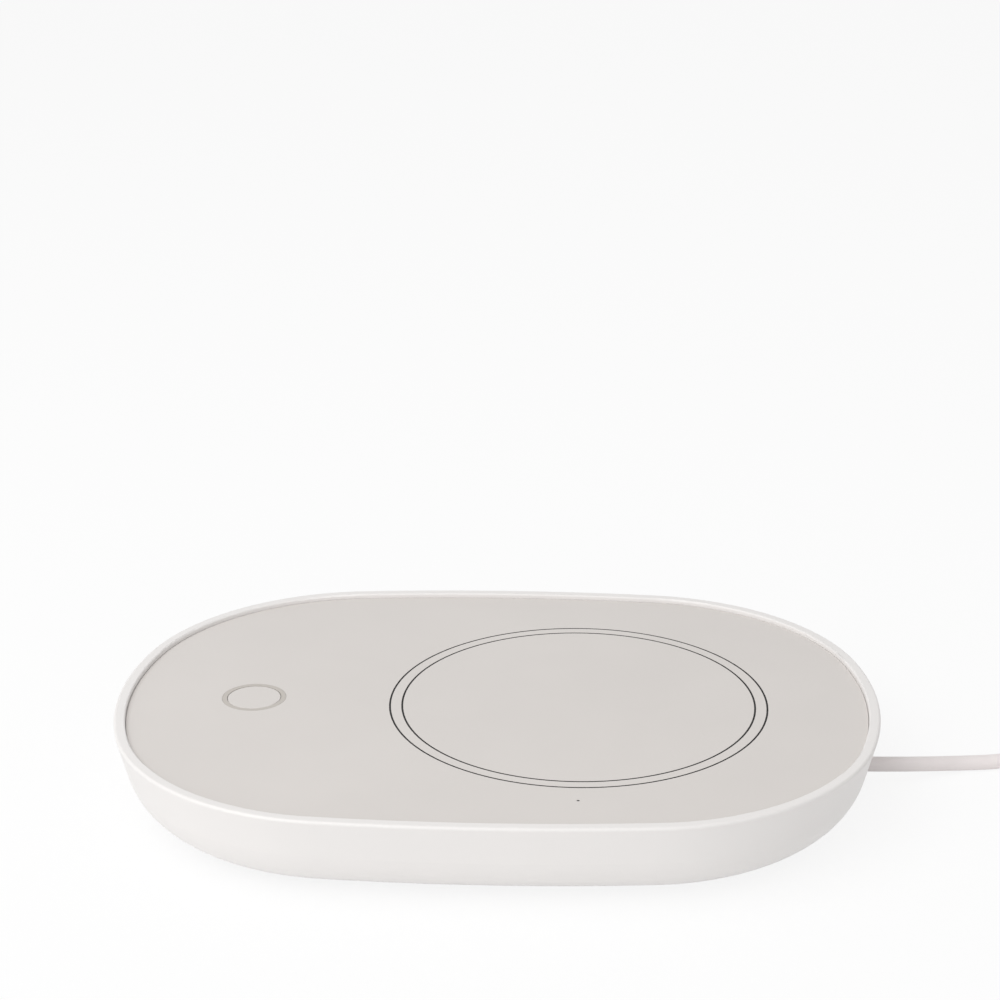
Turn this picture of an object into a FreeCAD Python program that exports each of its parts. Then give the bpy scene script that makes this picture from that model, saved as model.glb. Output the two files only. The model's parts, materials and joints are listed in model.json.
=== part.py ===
import FreeCAD, Part
import math
import os

import Sketcher
from FreeCAD import Vector

# A flat electric mug warmer: a tray-shaped casing with a round warming plate on one side,
# a round power key on the other, a control board under the key, and a lead with a USB plug.
# +X runs along the long side towards the lead, -Y is the front, +Z is up, z = 0 is the floor.

doc = FreeCAD.newDocument("mug_warmer")

# Sizes, in millimetres and degrees
SIZES = [
    ("half_length", 70.7, "half the length over the rim"),
    ("half_width", 52.4, "half the width over the rim"),
    ("side_radius", 345.0, "bow of the two long sides"),
    ("end_radius", 71.4, "bow of the two ends"),
    ("corner_radius", 44.0, "round corners, tangent to sides and ends"),
    ("foot_proud", 0.8, "how far the feet stand out of the underside"),
    ("casing_height", 16.2, "underside to rim"),
    ("wall_slant", 14.4, "lean of the outer wall, in degrees"),
    ("edge_bend", 11.3, "radius between wall and underside"),
    ("wall", 2.0, "thickness of the casing's wall"),
    ("lip_width", 2.1, "width of the raised lip at the rim"),
    ("lip_round", 0.5, "outer rounding of the lip"),
    ("lip_inner_round", 0.35, "inner rounding of the lip"),
    ("panel_drop", 0.9, "rim down to the panel's face"),
    ("panel_thick", 1.2, "top panel"),
    ("tape_thick", 0.2, "adhesive under the panel"),
    ("deck_thick", 1.6, "the casing's deck that carries the panel"),
    ("deck_overlap", 4.0, "width of the deck that is made with the wall"),
    ("panel_gap", 0.1, "gap round the panel"),
    ("base_thick", 1.4, "base cover"),
    ("base_inset", 16.0, "rim outline in to the base cover's rebate"),
    ("base_gap", 0.15, "gap round the base cover"),
    ("ledge_width", 3.0, "ledge that the base cover bears on"),
    ("ledge_thick", 1.2, "thickness of that ledge"),
    ("plate_x", 15.1, "centre of the warming plate"),
    ("plate_radius", 32.55, "warming plate"),
    ("seal_width", 0.3, "dark line that each seal shows"),
    ("seal_gap", 0.03, "play between a seal and what it seals"),
    ("seal_sink", 0.05, "how far the seals lie under the face"),
    ("seal_foot", 2.0, "width of the seals' flanges"),
    ("trim_width", 1.91, "insulating ring between the two seals"),
    ("deck_hole", 29.0, "radius of the deck's opening under the plate"),
    ("spreader_radius", 28.6, "thick middle of the warming plate"),
    ("spreader_thick", 1.0, "depth of that middle"),
    ("film_radius", 27.5, "heating film"),
    ("film_thick", 0.2, "heating film's backing"),
    ("track_thick", 0.1, "etched track on the film"),
    ("track_width", 1.5, "width of the track"),
    ("track_pitch", 3.4, "spacing of the track's rings"),
    ("track_first", 6.0, "radius of the innermost ring"),
    ("insulation_thick", 1.2, "fibre pad under the film"),
    ("clamp_thick", 0.8, "steel clamp plate"),
    ("clamp_radius", 26.5, "clamp plate's disc"),
    ("lug_radius", 31.8, "circle of the clamp's screws"),
    ("lug_half_width", 3.0, "half the width of a lug"),
    ("slot_half_length", 6.0, "half the thermistor's slot"),
    ("slot_half_width", 2.0, "half the width of both sensor slots"),
    ("fuse_slot_half_length", 10.5, "half the fuse's slot"),
    ("fuse_y", 11.0, "fuse slot's distance from the plate's centre"),
    ("bead_radius", 1.3, "thermistor bead"),
    ("bead_length", 4.6, "thermistor bead"),
    ("fuse_radius", 1.5, "thermal fuse"),
    ("fuse_length", 8.0, "thermal fuse's case"),
    ("fuse_lead", 3.0, "thermal fuse's leads"),
    ("terminal_angle", 20.0, "track's ends, from -X towards +Y, in degrees"),
    ("notch_half_width", 2.0, "half the notch for the wire to the track"),
    ("key_x", -45.5, "centre of the power key"),
    ("key_radius", 4.95, "power key's cap"),
    ("key_gap", 0.1, "gap round the cap"),
    ("key_flange_radius", 6.0, "flange that keeps the key in"),
    ("key_flange_thick", 0.8, "that flange"),
    ("key_stop_gap", 0.1, "play between the flange and the ring above it"),
    ("key_travel", 0.5, "stroke of the key"),
    ("key_dish", 0.12, "rounding of the cap's edge"),
    ("light_width", 0.9, "width of the ring of light round the key"),
    ("light_flange", 1.6, "width of the light ring's flange"),
    ("light_flange_thick", 1.0, "thickness of that flange"),
    ("hole_gap", 0.05, "gap round what passes through panel and deck"),
    ("plunger_radius", 1.7, "switch plunger"),
    ("plunger_proud", 0.9, "plunger above the switch"),
    ("plunger_depth", 0.6, "plunger inside the switch"),
    ("plunger_play", 0.2, "gap round the plunger"),
    ("plunger_spare", 0.1, "room left under the pressed plunger"),
    ("switch_side", 6.2, "switch body"),
    ("switch_height", 3.1, "switch body"),
    ("board_thick", 1.2, "control board"),
    ("board_left", -61.0, "control board's far edge"),
    ("board_right", -26.5, "control board's edge towards the plate"),
    ("board_half_width", 17.5, "half the board's width"),
    ("board_screw_end", 4.5, "board's far edge to its screws"),
    ("board_screw_near", 9.5, "board's edge towards the plate to its screws"),
    ("board_screw_side", 3.0, "board's long edges to its screws"),
    ("board_corner", 2.0, "rounded corners of the boards"),
    ("lamp_circle", 7.0, "circle of the key's lamps"),
    ("lamp_side", 1.6, "each lamp's side"),
    ("lamp_height", 0.8, "each lamp's height"),
    ("dot_x", 15.7, "centre of the indicator"),
    ("dot_y", -39.9, "centre of the indicator"),
    ("dot_radius", 0.25, "indicator's tip in the panel"),
    ("lens_radius", 1.4, "indicator's body in the deck"),
    ("lens_flange_radius", 2.2, "indicator's flange"),
    ("lens_flange_thick", 0.9, "indicator's flange"),
    ("small_board_half_length", 7.5, "indicator board"),
    ("small_board_half_width", 3.4, "indicator board"),
    ("small_board_thick", 1.0, "indicator board"),
    ("small_board_boss", 3.1, "length of its boss"),
    ("small_screw_offset", 5.0, "indicator to its board's screw"),
    ("small_lamp_height", 0.8, "indicator lamp"),
    ("boss_radius", 3.2, "bosses for the base cover's screws"),
    ("small_boss_radius", 2.4, "bosses for the small screws"),
    ("foot_x", 40.0, "feet and cover screws"),
    ("foot_y", 21.2, "feet and cover screws"),
    ("foot_radius", 4.8, "rubber feet"),
    ("foot_recess", 0.6, "depth of the recess that holds a foot"),
    ("foot_gap", 0.1, "gap round a foot"),
    ("foot_round", 0.35, "rounding of a foot's edge"),
    ("cup_radius", 4.2, "cups of the base cover round the screw heads"),
    ("cup_height", 2.0, "those cups above the cover's inside"),
    ("screw_radius", 1.15, "cover screws"),
    ("head_radius", 2.2, "cover screws' heads"),
    ("head_height", 1.4, "cover screws' heads"),
    ("screw_reach", 6.5, "cover screws in their bosses"),
    ("small_screw_radius", 0.85, "small screws"),
    ("small_head_radius", 1.75, "small screws' heads"),
    ("small_head_height", 1.1, "small screws' heads"),
    ("small_screw_reach", 2.2, "small screws past what they hold"),
    ("screw_play", 0.03, "play between a screw and its pilot"),
    ("head_play", 0.2, "play round a screw's head or shank"),
    ("recess_radius", 0.9, "driver recess in a screw's head"),
    ("recess_depth", 0.6, "driver recess in a screw's head"),
    ("cable_radius", 1.4, "the lead"),
    ("cable_rise", 3.6, "underside up to the lead's centre"),
    ("cable_play", 0.03, "play round the lead where it is held"),
    ("grommet_radius", 2.2, "bush in the wall"),
    ("grommet_collar_radius", 2.5, "its collar inside the wall"),
    ("grommet_collar", 1.5, "length of that collar"),
    ("grommet_gap", 0.05, "gap round the bush"),
    ("grommet_start", 57.0, "inner end of the bush"),
    ("grommet_end", 66.2, "outer end of the bush"),
    ("cable_bar_x", 46.5, "bar that clamps the lead"),
    ("cable_bar_half_length", 2.5, "half its size along the lead"),
    ("cable_bar_half_width", 8.4, "half its size across the lead"),
    ("cable_bar_thick", 2.0, "thickness of the bar"),
    ("cable_bar_lift", 0.1, "bar above the base cover"),
    ("cable_screw_y", 6.0, "the bar's screws, either side of the lead"),
    ("rib_half_width", 1.5, "half the rib that the lead is pressed to"),
    ("sheath_end", 42.5, "where the lead's sheath is cut back"),
    ("coil_middle_radius", 16.4, "middle of the coil's turns"),
    ("coil_pitch", 3.25, "from one turn to the next, and layer to layer"),
    ("coil_x", 132.0, "centre of the coil"),
    ("coil_y", 10.0, "centre of the coil"),
    ("tie_thick", 0.5, "band round the coil"),
    ("tie_gap", 0.1, "gap between band and coil"),
    ("tie_width", 6.0, "width of the band"),
    ("tie_corner", 2.0, "outer corners of the band"),
    ("plug_length", 19.0, "plug's moulded body"),
    ("plug_width", 15.4, "plug's moulded body"),
    ("plug_height", 8.0, "plug's moulded body"),
    ("plug_round", 2.2, "rounded edges of the body"),
    ("relief_length", 9.0, "tapered relief behind the plug"),
    ("relief_radius", 2.9, "relief where it meets the body"),
    ("relief_tip_radius", 2.0, "relief where the lead enters"),
    ("shell_width", 12.0, "metal shell"),
    ("shell_height", 4.5, "metal shell"),
    ("shell_length", 12.0, "metal shell outside the body"),
    ("shell_wall", 0.35, "metal shell"),
    ("shell_inset", 5.0, "metal shell inside the body"),
    ("window_half_width", 1.1, "latch windows in the shell"),
    ("window_half_length", 1.2, "latch windows in the shell"),
    ("tongue_setback", 0.5, "shell's mouth back to the tongue"),
    ("tongue_width", 10.6, "plastic tongue"),
    ("tongue_height", 1.85, "plastic tongue"),
    ("tongue_gap", 0.05, "play between tongue and shell"),
    ("contact_width", 1.0, "contacts on the tongue"),
    ("contact_thick", 0.15, "contacts on the tongue"),
    ("contact_pitch", 2.25, "spacing of the contacts"),
    ("contact_length", 7.4, "contacts on the tongue"),
    ("contact_setback", 1.0, "shell's mouth back to the contacts"),
    ("wire_radius", 0.6, "supply and heater wires"),
    ("thin_wire_radius", 0.35, "sensor and indicator wires"),
    ("wire_pitch", 2.0, "spacing of a pair of wires"),
    ("connector_length", 5.5, "wire connectors on the board"),
    ("connector_width", 5.4, "wire connectors on the board"),
    ("connector_height", 4.4, "wire connectors on the board"),
    ("connector_pitch", 7.2, "spacing of the connectors"),
]


# Values that carry their expression in the sheet
class Size:
    """A number together with the expression that works it out from the sheet."""

    def __init__(self, value, text):
        self.value = value
        self.text = text

    def _with(self, other, sign, turned=False):
        other = as_size(other)
        first, second = (other, self) if turned else (self, other)
        results = {
            "+": lambda a, b: a + b,
            "-": lambda a, b: a - b,
            "*": lambda a, b: a * b,
            "/": lambda a, b: a / b,
        }
        value = results[sign](first.value, second.value)
        return Size(value, f"({first.text} {sign} {second.text})")

    def __add__(self, other):
        return self._with(other, "+")

    def __radd__(self, other):
        return self._with(other, "+", turned=True)

    def __sub__(self, other):
        return self._with(other, "-")

    def __rsub__(self, other):
        return self._with(other, "-", turned=True)

    def __mul__(self, other):
        return self._with(other, "*")

    def __rmul__(self, other):
        return self._with(other, "*", turned=True)

    def __truediv__(self, other):
        return self._with(other, "/")

    def __neg__(self):
        return Size(-self.value, f"(0 - {self.text})")


def as_size(thing):
    return thing if isinstance(thing, Size) else Size(float(thing), f"{float(thing)}")


def root(size):
    return Size(math.sqrt(size.value), f"sqrt({size.text})")


def sine(angle):
    return Size(math.sin(math.radians(angle.value)), f"sin({angle.text} * 1 deg)")


def cosine(angle):
    return Size(math.cos(math.radians(angle.value)), f"cos({angle.text} * 1 deg)")


def make_sheet():
    """The spreadsheet of driving sizes: name, value and meaning in three columns."""
    sheet = doc.addObject("Spreadsheet::Sheet", "Sizes")
    for row, (name, value, meaning) in enumerate(SIZES, start=1):
        sheet.set(f"A{row}", name)
        sheet.set(f"B{row}", f"{value}")
        sheet.setAlias(f"B{row}", name)
        sheet.set(f"C{row}", meaning)
    doc.recompute()
    return {name: Size(float(value), f"Sizes.{name}") for name, value, _ in SIZES}


S = make_sheet()
ZERO = as_size(0)
parts = {}


# Levels above the floor, and places that several sub-parts share
underside = S["foot_proud"]
rim = underside + S["casing_height"]
panel_top = rim - S["panel_drop"]
panel_bottom = panel_top - S["panel_thick"]
deck_top = panel_bottom - S["tape_thick"]
deck_bottom = deck_top - S["deck_thick"]
base_top = underside + S["base_thick"]
ledge_top = base_top + S["ledge_thick"]
cup_top = base_top + S["cup_height"]
cable_z = underside + S["cable_rise"]

seal_inner = S["plate_radius"] + S["seal_gap"]
trim_inner = seal_inner + S["seal_width"] + S["seal_gap"]
trim_outer = trim_inner + S["trim_width"]
ring_seal_inner = trim_outer + S["seal_gap"]
panel_hole = ring_seal_inner + S["seal_width"] + S["seal_gap"]

film_top = panel_bottom - S["spreader_thick"]
track_top = film_top - S["film_thick"]
insulation_top = track_top - S["track_thick"]
clamp_top = insulation_top - S["insulation_thick"]
clamp_bottom = clamp_top - S["clamp_thick"]

light_inner = S["key_radius"] + S["key_gap"]
light_outer = light_inner + S["light_width"]
light_bottom = deck_bottom - S["light_flange_thick"]
key_flange_top = light_bottom - S["key_stop_gap"]
key_bottom = key_flange_top - S["key_flange_thick"]
switch_top = key_bottom - S["plunger_proud"]
board_top = switch_top - S["switch_height"]
board_bottom = board_top - S["board_thick"]

lens_bottom = deck_bottom - S["lens_flange_thick"]
small_board_top = deck_bottom - S["small_board_boss"]
small_board_bottom = small_board_top - S["small_board_thick"]

bar_bottom = base_top + S["cable_bar_lift"]
bar_top = bar_bottom + S["cable_bar_thick"]

FOOT_PLACES = [(i * S["foot_x"], j * S["foot_y"]) for i in (-1, 1) for j in (-1, 1)]
BOARD_SCREW_PLACES = [
    (x, side * (S["board_half_width"] - S["board_screw_side"]))
    for x in (S["board_left"] + S["board_screw_end"], S["board_right"] - S["board_screw_near"])
    for side in (-1, 1)
]
BAR_SCREW_PLACES = [(S["cable_bar_x"], j * S["cable_screw_y"]) for j in (-1, 1)]
LUG_ANGLES = [as_size(60), as_size(180), as_size(300)]
LUG_PLACES = [
    (S["plate_x"] + S["lug_radius"] * cosine(a), S["lug_radius"] * sine(a)) for a in LUG_ANGLES
]
SMALL_SCREW_PLACE = (S["dot_x"] + S["small_screw_offset"], S["dot_y"])


# Sketches and features
def keep(label, piece):
    """Files a finished sub-part under its name."""
    piece.Label = label
    parts[label] = piece
    return piece


def new_body(label):
    return keep(label, doc.addObject("PartDesign::Body", label))


def sketch_on(body, plane, height=None, name="Sketch"):
    sketch = body.newObject("Sketcher::SketchObject", name)
    base = [f for f in body.Origin.OriginFeatures if f.Role == plane][0]
    sketch.AttachmentSupport = [(base, "")]
    sketch.MapMode = "FlatFace"
    if height is not None:
        sketch.setExpression("AttachmentOffset.Base.z", height.text)
    return sketch


def hold(sketch, kind, where, size):
    """Adds one constraint and ties its value to the sheet."""
    size = as_size(size)
    index = sketch.addConstraint(Sketcher.Constraint(kind, *where, size.value))
    if "Sizes" in size.text:
        sketch.setExpression(f"Constraints[{index}]", size.text)


def pin_point(sketch, geometry, point, x, y):
    hold(sketch, "DistanceX", (geometry, point), x)
    hold(sketch, "DistanceY", (geometry, point), y)


def draw_circle(sketch, x, y, radius):
    x, y = as_size(x), as_size(y)
    shape = Part.Circle(Vector(x.value, y.value, 0), Vector(0, 0, 1), radius.value)
    index = sketch.addGeometry(shape, False)
    pin_point(sketch, index, 3, x, y)
    hold(sketch, "Radius", (index,), radius)


def draw_profile(sketch, corners, bends=None):
    """A closed outline through corners; bends gives some sides as arcs: (centre, radius, ccw)."""
    bends = bends or {}
    corners = [(as_size(x), as_size(y)) for x, y in corners]
    spots = [Vector(x.value, y.value, 0) for x, y in corners]
    ends = []
    for i, here in enumerate(spots):
        there = spots[(i + 1) % len(spots)]
        if i not in bends:
            index = sketch.addGeometry(Part.LineSegment(here, there), False)
            ends.append((index, 1, 2))
            continue
        (x, y), radius, counterclockwise = bends[i]
        centre = Vector(as_size(x).value, as_size(y).value, 0)
        first, last = (here, there) if counterclockwise else (there, here)
        angles = [math.atan2(p.y - centre.y, p.x - centre.x) for p in (first, last)]
        circle = Part.Circle(centre, Vector(0, 0, 1), as_size(radius).value)
        index = sketch.addGeometry(Part.ArcOfCircle(circle, *angles), False)
        ends.append((index, 1, 2) if counterclockwise else (index, 2, 1))
        hold(sketch, "Radius", (index,), radius)
    for i, (index, start, _) in enumerate(ends):
        before, _, end = ends[i - 1]
        sketch.addConstraint(Sketcher.Constraint("Coincident", before, end, index, start))
        pin_point(sketch, index, start, *corners[i])


def draw_box(sketch, x0, x1, y0, y1):
    draw_profile(sketch, [(x0, y0), (x1, y0), (x1, y1), (x0, y1)])


def draw_rounded(sketch, x0, x1, y0, y1, corner):
    corners = [
        (x0 + corner, y0),
        (x1 - corner, y0),
        (x1, y0 + corner),
        (x1, y1 - corner),
        (x1 - corner, y1),
        (x0 + corner, y1),
        (x0, y1 - corner),
        (x0, y0 + corner),
    ]
    bends = {
        1: ((x1 - corner, y0 + corner), corner, True),
        3: ((x1 - corner, y1 - corner), corner, True),
        5: ((x0 + corner, y1 - corner), corner, True),
        7: ((x0 + corner, y0 + corner), corner, True),
    }
    draw_profile(sketch, corners, bends)


def corner_centre():
    """Centre of the rounded corner in the quarter where X and Y are positive."""
    end_x = S["half_length"].value - S["end_radius"].value
    side_y = S["half_width"].value - S["side_radius"].value
    to_end = S["end_radius"].value - S["corner_radius"].value
    to_side = S["side_radius"].value - S["corner_radius"].value
    gap = math.hypot(end_x, side_y)
    along = (to_end**2 - to_side**2 + gap**2) / (2 * gap)
    off = math.sqrt(to_end**2 - along**2)
    ux, uy = -end_x / gap, side_y / gap
    choices = [(end_x + along * ux - k * off * uy, along * uy + k * off * ux) for k in (-1, 1)]
    return max(choices, key=lambda c: c[0] + c[1])


def draw_outline(sketch, inset, split=False):
    """The rim's outline, moved in by inset: eight tangent arcs, or nine that start at the +X end."""
    cx, cy = corner_centre()
    end_x = S["half_length"] - S["end_radius"]
    side_y = S["half_width"] - S["side_radius"]
    end_turn = math.atan2(cy, cx - end_x.value)
    side_turn = math.atan2(cy - side_y.value, cx)
    end_r = S["end_radius"] - inset
    side_r = S["side_radius"] - inset
    corner_r = S["corner_radius"] - inset
    half = math.pi
    arcs = [
        (end_x, ZERO, end_r, -end_turn, end_turn),
        (cx, cy, corner_r, end_turn, side_turn),
        (ZERO, side_y, side_r, side_turn, half - side_turn),
        (-cx, cy, corner_r, half - side_turn, half - end_turn),
        (-end_x, ZERO, end_r, half - end_turn, half + end_turn),
        (-cx, -cy, corner_r, half + end_turn, half + side_turn),
        (ZERO, -side_y, side_r, half + side_turn, 2 * half - side_turn),
        (cx, -cy, corner_r, 2 * half - side_turn, 2 * half - end_turn),
    ]
    if split:
        arcs[0] = (end_x, ZERO, end_r, 0, end_turn)
        arcs.append((end_x.value, 0, end_r, -end_turn, 0))
    for x, y, radius, start, stop in arcs:
        centre = Vector(as_size(x).value, as_size(y).value, 0)
        circle = Part.Circle(centre, Vector(0, 0, 1), radius.value)
        index = sketch.addGeometry(Part.ArcOfCircle(circle, start, stop), False)
        if isinstance(x, Size):
            pin_point(sketch, index, 3, x, y)
        hold(sketch, "Radius", (index,), radius)
    for i in range(len(arcs)):
        join = Sketcher.Constraint("Tangent", i - 1 if i else len(arcs) - 1, 2, i, 1)
        sketch.addConstraint(join)
    if split:
        hold(sketch, "DistanceY", (0, 1), ZERO)


def pad(body, sketch, length, down=False, name="Pad"):
    feature = body.newObject("PartDesign::Pad", name)
    feature.Profile = sketch
    feature.Reversed = down
    feature.setExpression("Length", as_size(length).text)
    sketch.Visibility = False
    return feature


def pocket(body, sketch, length, up=False, name="Pocket"):
    """Cuts down from the sketch, or up from it."""
    feature = body.newObject("PartDesign::Pocket", name)
    feature.Profile = sketch
    feature.Reversed = up
    feature.setExpression("Length", as_size(length).text)
    return feature


def place(piece, x=None, y=None, z=None):
    for axis, size in (("x", x), ("y", y), ("z", z)):
        if size is not None:
            piece.setExpression(f"Placement.Base.{axis}", as_size(size).text)
    return piece


def turned(label, profile, bends=None, axis="V_Axis", x=None, y=None, z=None, kept=True):
    """A piece turned about its upright axis, or along X with H_Axis."""
    body = new_body(label) if kept else doc.addObject("PartDesign::Body", label)
    sketch = sketch_on(body, "XZ_Plane")
    draw_profile(sketch, profile, bends)
    turn = body.newObject("PartDesign::Revolution", "Turned")
    turn.Profile = sketch
    turn.ReferenceAxis = (sketch, [axis])
    turn.Angle = 360
    return place(body, x, y, z)


def column(inner, outer, bottom, top):
    """Profile of a plain turned ring or disc."""
    return [(inner, bottom), (outer, bottom), (outer, top), (inner, top)]


def circles_pad(body, places, radius, height, length, down=False, name="Bosses"):
    sketch = sketch_on(body, "XY_Plane", height)
    for x, y in places:
        draw_circle(sketch, x, y, radius)
    return pad(body, sketch, length, down, name)


def circles_pocket(body, places, radius, height, length, up=False, name="Holes"):
    sketch = sketch_on(body, "XY_Plane", height)
    for x, y in places:
        draw_circle(sketch, x, y, radius)
    return pocket(body, sketch, length, up, name)


def copies(label, master, places):
    """Identical pieces in one node: links to one master, side by side."""
    links = []
    for x, y in places:
        link = doc.addObject("App::Link", f"{label}_copy")
        link.LinkedObject = master
        link.LinkTransform = True
        links.append(place(link, x, y))
    group = doc.addObject("Part::Compound", label)
    group.Links = links
    return keep(label, group)


def block(name, x0, x1, y0, y1, z0, z1):
    """A Part::Box between two corners."""
    box = doc.addObject("Part::Box", name)
    for prop, low, high in (("Length", x0, x1), ("Width", y0, y1), ("Height", z0, z1)):
        box.setExpression(prop, (as_size(high) - low).text)
    return place(box, x0, y0, z0)


def boxes(label, blocks):
    group = doc.addObject("Part::Compound", label)
    group.Links = blocks
    return keep(label, group)


# The casing: wall with raised lip and rolled lower edge, deck, bosses and openings
def wall_profile():
    """Half section of the wall in X and Z at the +X end, with its three arcs."""
    edge = S["half_length"]
    slope = sine(S["wall_slant"]) / cosine(S["wall_slant"])
    lean = cosine(S["wall_slant"])
    lip_out = S["lip_round"]
    lip_in = S["lip_inner_round"]
    # the rim's rounding touches the top and the slanted wall
    lip_start = edge - lip_out * slope - lip_out * (1 - sine(S["wall_slant"])) / lean
    lip_centre = (lip_start, rim - lip_out)
    lip_end = (lip_start + lip_out * lean, rim - lip_out - lip_out * sine(S["wall_slant"]))
    # the wall's line moved square to itself gives the centre of the rolled edge
    centre_z = underside + S["edge_bend"]
    line_x = lip_end[0] - (lip_end[1] - centre_z) * slope
    centre_x = line_x - S["edge_bend"] / lean
    outer_end = (
        centre_x + S["edge_bend"] * lean,
        centre_z - S["edge_bend"] * sine(S["wall_slant"]),
    )
    inner_bend = S["edge_bend"] - S["wall"]
    inner_end = (centre_x + inner_bend * lean, centre_z - inner_bend * sine(S["wall_slant"]))
    drop = centre_z - ledge_top
    floor_x = centre_x + root(inner_bend * inner_bend - drop * drop)
    rebate = edge - S["base_inset"]
    ledge = rebate - S["ledge_width"]
    lip_face = edge - S["lip_width"]
    deck_edge = lip_face - S["deck_overlap"]
    under_deck = inner_end[0] + (deck_bottom - inner_end[1]) * slope
    corners = [
        (lip_face, deck_top),
        (lip_face, rim - lip_in),
        (lip_face + lip_in, rim),
        (lip_start, rim),
        lip_end,
        outer_end,
        (centre_x, underside),
        (rebate, underside),
        (rebate, base_top),
        (ledge, base_top),
        (ledge, ledge_top),
        (floor_x, ledge_top),
        inner_end,
        (under_deck, deck_bottom),
        (deck_edge, deck_bottom),
        (deck_edge, deck_top),
    ]
    bends = {
        1: ((lip_face + lip_in, rim - lip_in), lip_in, False),
        3: (lip_centre, lip_out, False),
        5: ((centre_x, centre_z), S["edge_bend"], False),
        11: ((centre_x, centre_z), inner_bend, True),
    }
    return corners, bends


def make_casing():
    body = new_body("casing")
    spine = sketch_on(body, "XY_Plane", rim, "Rim")
    draw_outline(spine, ZERO, split=True)
    section = sketch_on(body, "XZ_Plane", None, "WallSection")
    draw_profile(section, *wall_profile())
    doc.recompute()
    wall = body.newObject("PartDesign::AdditivePipe", "Wall")
    wall.Profile = section
    wall.Spine = (spine, [f"Edge{i + 1}" for i in range(9)])
    wall.Transition = "Transformed"
    doc.recompute()
    deck = sketch_on(body, "XY_Plane", deck_top, "DeckOutline")
    draw_outline(deck, S["lip_width"] + S["deck_overlap"] / 2)
    pad(body, deck, S["deck_thick"], down=True, name="Deck")
    circles_pad(body, FOOT_PLACES, S["boss_radius"], deck_bottom, deck_bottom - cup_top, True)
    circles_pad(
        body, BOARD_SCREW_PLACES, S["small_boss_radius"], deck_bottom, deck_bottom - board_top, True
    )
    circles_pad(
        body, LUG_PLACES, S["small_boss_radius"], deck_bottom, deck_bottom - clamp_top, True
    )
    circles_pad(
        body, BAR_SCREW_PLACES, S["small_boss_radius"], deck_bottom, deck_bottom - bar_top, True
    )
    circles_pad(
        body, [SMALL_SCREW_PLACE], S["small_boss_radius"], deck_bottom, S["small_board_boss"], True
    )
    rib = sketch_on(body, "XY_Plane", deck_bottom, "RibOutline")
    draw_box(
        rib,
        S["cable_bar_x"] - S["rib_half_width"],
        S["cable_bar_x"] + S["rib_half_width"],
        -S["cable_screw_y"],
        S["cable_screw_y"],
    )
    pad(body, rib, deck_bottom - bar_top, down=True, name="Rib")
    cut_casing(body)
    return body


def cut_casing(body):
    """Openings for plate, key and indicator, screw pilots and the lead's way out."""
    spare = S["deck_thick"]
    plate = [(S["plate_x"], ZERO)]
    circles_pocket(body, plate, S["deck_hole"], deck_top, spare, name="PlateOpening")
    key = [(S["key_x"], ZERO)]
    circles_pocket(body, key, light_outer + S["hole_gap"], deck_top, spare, name="KeyOpening")
    dot = [(S["dot_x"], S["dot_y"])]
    circles_pocket(body, dot, S["lens_radius"] + S["hole_gap"], deck_top, spare, name="DotOpening")
    pilot = S["screw_radius"] + S["screw_play"]
    small = S["small_screw_radius"] + S["screw_play"]
    reach = S["screw_reach"] + S["screw_play"]
    short = S["small_screw_reach"] + S["screw_play"]
    circles_pocket(body, FOOT_PLACES, pilot, cup_top, reach, True, "CoverPilots")
    circles_pocket(body, BOARD_SCREW_PLACES, small, board_top, short, True, "BoardPilots")
    circles_pocket(body, LUG_PLACES, small, clamp_top, short, True, "ClampPilots")
    circles_pocket(body, BAR_SCREW_PLACES, small, bar_top, short, True, "BarPilots")
    circles_pocket(body, [SMALL_SCREW_PLACE], small, small_board_top, short, True, "DotPilot")
    cut_lead_way(body)


def cut_lead_way(body):
    """The hole through the wall along X, with a wider stretch for the bush's collar."""
    collar_start = S["grommet_start"] - S["hole_gap"]
    collar_end = S["grommet_start"] + S["grommet_collar"]
    start = S["cable_bar_x"] - S["cable_bar_half_length"]
    stretches = [
        (start, S["grommet_start"], S["cable_radius"] + S["cable_play"]),
        (collar_start, collar_end, S["grommet_collar_radius"] + S["grommet_gap"]),
        (collar_end, S["half_length"], S["grommet_radius"] + S["grommet_gap"]),
    ]
    for number, (x0, x1, radius) in enumerate(stretches):
        sketch = sketch_on(body, "YZ_Plane", x0, f"LeadWay{number}")
        draw_circle(sketch, ZERO, cable_z, radius)
        pocket(body, sketch, x1 - x0, True, f"LeadHole{number}")


# The base cover with its foot recesses and screw cups, the feet and the cover screws
def make_base():
    body = new_body("base_cover")
    outline = sketch_on(body, "XY_Plane", underside, "Outline")
    draw_outline(outline, S["base_inset"] + S["base_gap"])
    pad(body, outline, S["base_thick"], name="Plate")
    circles_pad(body, FOOT_PLACES, S["cup_radius"], base_top, S["cup_height"], name="Cups")
    recess = S["foot_radius"] + S["foot_gap"]
    circles_pocket(body, FOOT_PLACES, recess, underside, S["foot_recess"], True, "FootRecesses")
    head = S["head_radius"] + S["head_play"]
    depth = S["foot_recess"] + S["screw_play"] + S["head_height"]
    circles_pocket(body, FOOT_PLACES, head, underside, depth, True, "HeadRecesses")
    shank = S["screw_radius"] + S["head_play"]
    circles_pocket(body, FOOT_PLACES, shank, underside, cup_top - underside, True, "ShankHoles")


def make_feet():
    edge = S["foot_round"]
    radius = S["foot_radius"]
    top = underside + S["foot_recess"]
    profile = [(ZERO, ZERO), (radius - edge, ZERO), (radius, edge), (radius, top), (ZERO, top)]
    bends = {1: ((radius - edge, edge), edge, True)}
    copies("feet", turned("feet_master", profile, bends, kept=False), FOOT_PLACES)


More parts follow.
